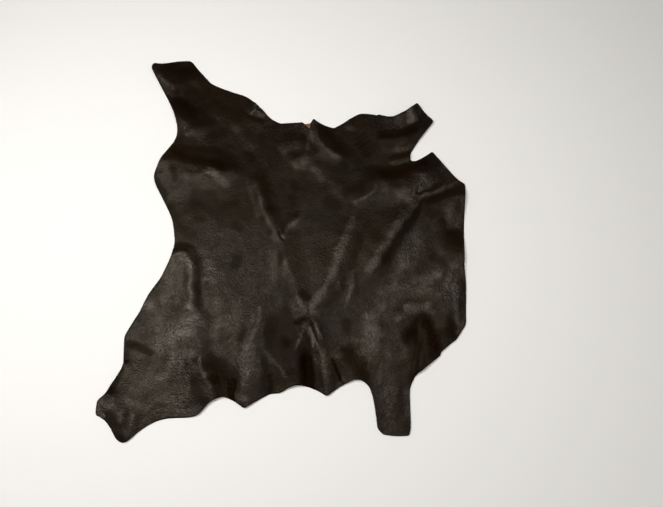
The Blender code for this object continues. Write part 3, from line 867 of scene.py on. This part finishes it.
        (0.6, 34, (206, -158), (186, -188), (189, -224), (172, -250)),
        (-1.0, 20, (260, -214), (278, -196), (294, -182), (310, -208), (318, -240)),
        (-0.8, 10, (354, -188), (356, -204), (358, -216)),
        (-1.1, 18, (284, -214), (286, -240), (279, -270), (272, -300)),
        (0.6, 14, (192, -204), (196, -222), (188, -240)),
        (-0.4, 18, (330, -214), (344, -208)),
        (0.5, 8, (284, -194), (285, -206), (282, -216)),
        (0.7, 4, (286, -250), (285, -262), (284, -274)),
        (0.8, 8, (380, -182), (377, -194), (366, -208)),
        (0.7, 12, (240, -180), (252, -170), (266, -160)),
        (0.4, 20, (248, -122), (266, -118)),
        (0.7, 14, (250, -240), (252, -258)),
        (0.4, 12, (290, -146), (304, -148)),
        (0.5, 8, (316, -194), (320, -210)),
        (0.4, 12, (202, -144), (208, -154)),
        (0.4, 12, (308, -162), (316, -168)),
        (-0.5, 12, (310, -256), (320, -260)),
        (0.4, 14, (232, -138), (238, -148)),
        (0.35, 14, (213, -240), (218, -256)),
        (-0.8, 18, (302, -196), (310, -216), (318, -238)),
    ),
    "right hind leg": (
        (0.3, 32, (212, -300), (218, -350), (224, -400)),
        (0.6, 12, (252, -330), (254, -372)),
        (0.5, 10, (220, -374), (224, -392)),
    ),
}

# Ovals where the grain side is rougher. The keys are pebble, the way its fine wrinkles run,
# and calm, where it is smoother. The strength is up to 1.
patches = {
    "pebble": (
        (-82, -275, 62, 26, 90, 1.0), (-104, -196, 44, 26, 80, 0.6), (-208, -345, 46, 22, 0, 0.8),
        (108, -228, 24, 18, 0, 0.8), (238, -206, 18, 24, 0, 0.6), (300, -108, 44, 26, 20, 0.6),
        (-132, -300, 50, 44, 0, 0.8), (-8, -285, 70, 40, 0, 0.7), (96, -268, 60, 50, 0, 0.8),
        (152, -250, 50, 54, 0, 0.8), (248, -262, 50, 44, 0, 0.7), (306, -226, 56, 56, 0, 0.9),
    ),
    "calm": (
        (-50, 92, 280, 160, 0, 1.0), (-150, 250, 120, 70, -40, 0.8), (110, 205, 130, 60, 0, 0.6),
        (-204, -20, 70, 60, 0, 0.7), (-290, -320, 110, 110, 0, 0.5),
    ),
    "level": (
        (-222, -264, 56, 22, 10, 1.0), (-212, -340, 44, 26, 0, 0.7), (88, -232, 38, 22, 0, 1.0),
        (-125, -165, 50, 36, 10, 0.6), (-300, -256, 34, 16, -30, 0.6),
    ),
    "upright": (
        (-232, 128, 44, 34, 0, 0.6), (222, 108, 30, 26, 0, 0.5), (265, -28, 60, 34, 80, 1.0),
        (352, -120, 100, 44, 90, 1.0), (222, -330, 90, 32, 90, 0.9), (-225, -110, 70, 34, 80, 0.5),
        (-35, -60, 60, 22, 90, 0.7), (-60, -200, 70, 24, 90, 0.6), (-272, -365, 30, 26, 0, 0.6),
    ),
    "slant": (
        (310, 124, 60, 32, 35, 1.0), (170, 234, 32, 26, 40, 0.7), (120, -20, 62, 20, 62, 0.8),
        (206, -40, 74, 20, 58, 0.9), (10, 30, 40, 16, 50, 0.6), (180, -200, 60, 44, 70, 0.6),
        (-240, -205, 60, 46, 40, 0.7),
    ),
}

# Of each cloud of noise: its cells to a metre, its detail and its roughness. Heights and
# depths are in millimetres.
grain = {
    "darkColor": (0.0044, 0.0018, 0.0003, 1.0),
    "lightColor": (0.0080, 0.0038, 0.0008, 1.0),
    "mottle": (9.0, 4.0, 0.55),
    "mottleRange": (0.35, 0.7),
    "dull": {"Roughness": 0.46, "Specular IOR Level": 0.09},
    "polished": {"Roughness": 0.34, "Specular IOR Level": 0.46},
    # The matt look is painted shade: it darkens the skin where the streaks are strongly negative.
    "paintedShadeMatt": {"Roughness": 0.6, "Specular IOR Level": 0.01},
    "paintedShadeRange": (-1.5, -0.3),  # the streaks' polish up to which the skin is wholly matt painted shade, and from which it is not
    "tint": (1.0, 0.905, 0.755, 1.0),  # of what the skin reflects
    "sheen": 0.205,  # how polished the skin is away from the streaks
    "paintedLightPolish": 0.68,  # and how much the streaks of painted highlight and shade add or take away
    "handling": (60.0, 2.0, 0.55),  # uneven patches of polish
    "handlingDepth": 0.56,
    "flecks": (240.0, 3.0, 0.65),  # paler and duller flecks
    "fleckDepth": 0.8,
    "patchRange": (0.3, 0.7),
    "calming": 0.5,  # how much the grain fades where it is calm
    "unevenNet": (22.0, 2.0, 0.55),  # where the net and the dimples are stronger
    "nets": 105.0,  # cells to a metre of the net of fine creases
    "netLine": 0.22,  # width of a crease as a share of a cell
    "netLeast": 0.2,  # least strength, where the net is weak, as for the grit and dimples
    "netDepth": 0.26,
    "netStray": 60.0,  # bends to a metre, and how far they go
    "netReach": 8 * mm,
    "grits": (330.0, 2.0, 0.6),
    "gritHeight": 0.74,
    "gritLeast": 0.5,
    "wear": (34.0, 4.0, 0.55),  # where the grit is stronger
    "wrinkleTurns": {"level": 0.0, "upright": 90.0, "slant": 52.0},  # degrees
    "wrinkles": (1.0, 2.0, 0.6, 0.6),  # the last is how far they are distorted
    "wrinkleScale": (60.0, 250.0, 1.0),  # wrinkles to a metre along and across them
    "wrinkleHeight": 1.0,
    "pebbles": 170.0,  # pebbles to a metre
    "pebbleHeight": 0.6,
    "pebbleTop": (0.25, 0.55),  # how far from a pebble's middle its top is whole, and ends
    "topClear": 0.8,  # the share of the matt painted shade that is left off the tops
    "topPolish": 0.5,  # how much more polished they are than what is round them
    "glint": 0.12,  # and how polished they are at least
    "dimples": (95.0, 3.0, 0.6),
    "dimpleHeight": 0.22,
    "dimpleLeast": 0.35,
    "pores": 900.0,
    "poreHeight": 0.05,
}
flesh = {
    "nap": (260.0, 5.0, 0.7),
    "darkColor": (0.11, 0.048, 0.015, 1.0),
    "lightColor": (0.22, 0.105, 0.038, 1.0),
    "bumpStrength": 0.6,
    "bumpDepth": 0.6,
    "roughness": 0.95,
}
cutEdge = {
    "fibre": (500.0, 3.0, 0.55),
    "darkColor": (0.020, 0.011, 0.005, 1.0),
    "lightColor": (0.045, 0.026, 0.013, 1.0),
    "roughness": 0.85,
}


def keepMark(mesh, name, values):
    layer = mesh.attributes.new(name, "FLOAT", "POINT")
    layer.data.foreach_set("value", values.astype(np.float32))


def markPatches(mesh, x, y):
    # writes how rough each point is into one mark for each kind of patch
    for kind, rows in patches.items():
        ovals = [Oval(*row) for row in rows]
        keepMark(mesh, kind, np.max([oval.strength * inOval(oval, x, y) for oval in ovals], 0))


def markPaintedLightPolish(mesh, x, y):
    # writes how polished each point is by the streaks of painted highlight and shade
    x, y = (x + skin["paintedLightStray"] * wander(x, y, skin["paintedLightStraySize"], 8),
            y + skin["paintedLightStray"] * wander(x, y, skin["paintedLightStraySize"], 9))
    paintedLightPolish = np.zeros(len(x))
    for rows in paintedLightStreaks.values():
        for sheen in withCourses(PaintedLightStreak, rows):
            reach = np.minimum(nearestOn(sheen.course, x, y)[0] / (sheen.width * mm), 1.0)
            paintedLightPolish += sheen.strength * (1.0 - reach**2) ** 2
    keepMark(mesh, "paintedLightPolish", paintedLightPolish)


def grainHeight(finish, at, calm, pebbles):
    # the fine relief of the grain side, in millimetres
    wear = finish.cloud(at, *grain["wear"])
    uneven = finish.smooth(finish.cloud(at, *grain["unevenNet"]), *grain["patchRange"])
    grit = finish.cloud(at, *grain["grits"]) * ((grain["gritLeast"] + wear) * grain["gritHeight"])
    dimples = finish.cloud(at, *grain["dimples"]) * (
        grain["dimpleHeight"] * (grain["dimpleLeast"] + uneven))
    pores = finish.cells(at, grain["pores"]) * grain["poreHeight"]
    strayed = finish.node("ShaderNodeVectorMath", {"operation": "MULTIPLY_ADD"}, {
        0: finish.node("ShaderNodeTexNoise", {}, {"Vector": at, "Scale": grain["netStray"]}, 1),
        1: (grain["netReach"],) * 3, 2: at})
    net = finish.cells(strayed, grain["nets"], "DISTANCE_TO_EDGE")
    net = finish.smooth(net, 0.0, grain["netLine"]) * (uneven + grain["netLeast"])
    height = (dimples - pores + net * grain["netDepth"] + grit) * calm
    height += finish.mark("pebble") * (1.0 - pebbles * pebbles) * grain["pebbleHeight"]
    for kind, turn in grain["wrinkleTurns"].items():
        stretched = finish.node(
            "ShaderNodeMapping", {"vector_type": "POINT"},
            {"Vector": finish.place(turn), "Scale": grain["wrinkleScale"]})
        lines = finish.cloud(stretched, *grain["wrinkles"])
        height += finish.mark(kind) * lines * grain["wrinkleHeight"]
    return height


def grainFinish():
    finish = Finish("dark brown grain")
    at = finish.place()
    mottle = finish.smooth(finish.cloud(at, *grain["mottle"]), *grain["mottleRange"])
    color = finish.tint(mottle, grain["darkColor"], grain["lightColor"])
    pebbles = finish.cells(at, grain["pebbles"])
    calm = 1.0 - finish.mark("calm") * grain["calming"]
    normal = finish.bump(grainHeight(finish, at, calm, pebbles), 1.0, mm)
    flecks = finish.smooth(finish.cloud(at, *grain["flecks"]), *grain["patchRange"])
    handled = finish.smooth(finish.cloud(at, *grain["handling"]), *grain["patchRange"])
    tops = finish.mark("pebble") * (1.0 - finish.smooth(pebbles, *grain["pebbleTop"]))
    # share carries the painted highlights and painted shade of the streaks as more or less polish
    share = grain["sheen"] + finish.mark("paintedLightPolish") * grain["paintedLightPolish"]
    share = share * (1.0 + (flecks - 0.5) * grain["fleckDepth"] * calm)
    share = share * (1.0 + (handled - 0.5) * grain["handlingDepth"])
    share = share * (1.0 + tops * grain["topPolish"]) + tops * grain["glint"]
    # depth is painted shade: how far the skin goes matt where the streaks are strongly negative
    depth = 1.0 - finish.smooth(finish.mark("paintedLightPolish"), *grain["paintedShadeRange"])
    depth = depth * (1.0 - tops * grain["topClear"])
    # three surfaces mixed: dull where share is 0, polished where it is 1, matt painted shade where
    # depth is 1
    dull, polished, paintedShadeMatt = [
        finish.node("ShaderNodeBsdfPrincipled", {}, {
            "Base Color": color, "Normal": normal, "Specular Tint": grain["tint"], **grain[look]})
        for look in ("dull", "polished", "paintedShadeMatt")
    ]
    finish.tree.nodes.remove(finish.shader)
    satin = finish.mix(finish.smooth(share, 0.0, 1.0, "LINEAR"), dull, polished)
    finish.cover(finish.mix(depth, satin, paintedShadeMatt))
    return finish.material


def fleshFinish():
    finish = Finish("tan flesh side")
    nap = finish.cloud(finish.place(), *flesh["nap"])
    finish.paint({
        "Base Color": finish.tint(nap, flesh["darkColor"], flesh["lightColor"]),
        "Normal": finish.bump(nap, flesh["bumpStrength"], flesh["bumpDepth"] * mm),
        "Roughness": flesh["roughness"],
    })
    return finish.material


def cutEdgeFinish():
    finish = Finish("cut edge")
    fibre = finish.cloud(finish.place(), *cutEdge["fibre"])
    finish.paint({
        "Base Color": finish.tint(fibre, cutEdge["darkColor"], cutEdge["lightColor"]),
        "Roughness": cutEdge["roughness"],
    })
    return finish.material


def makeSkin():
    sheet = flatSheet()
    foldSheet(sheet)
    turnFlap(sheet)
    mesh = bpy.data.meshes.new("skin")
    sheet.to_mesh(mesh)
    sheet.free()
    places = np.array([vert.co for vert in mesh.vertices]) + np.array(toMark)
    markPatches(mesh, places[:, 0], places[:, 1])
    markPaintedLightPolish(mesh, places[:, 0], places[:, 1])
    for finish in (grainFinish(), fleshFinish(), cutEdgeFinish()):
        mesh.materials.append(finish)
    mesh.shade_smooth()
    piece = bpy.data.objects.new("skin", mesh)
    bpy.context.scene.collection.objects.link(piece)
    wall = piece.modifiers.new("thickness", "SOLIDIFY")
    wall.thickness = skin["thickness"]
    wall.offset = 1.0  # the sheet as drawn is the underside
    wall.material_offset = 1
    wall.material_offset_rim = 2
    return piece


piece = makeSkin()
print("skin made:", len(piece.data.vertices), "points")
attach(piece, "root")
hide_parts("hide")
print("pieces declared")
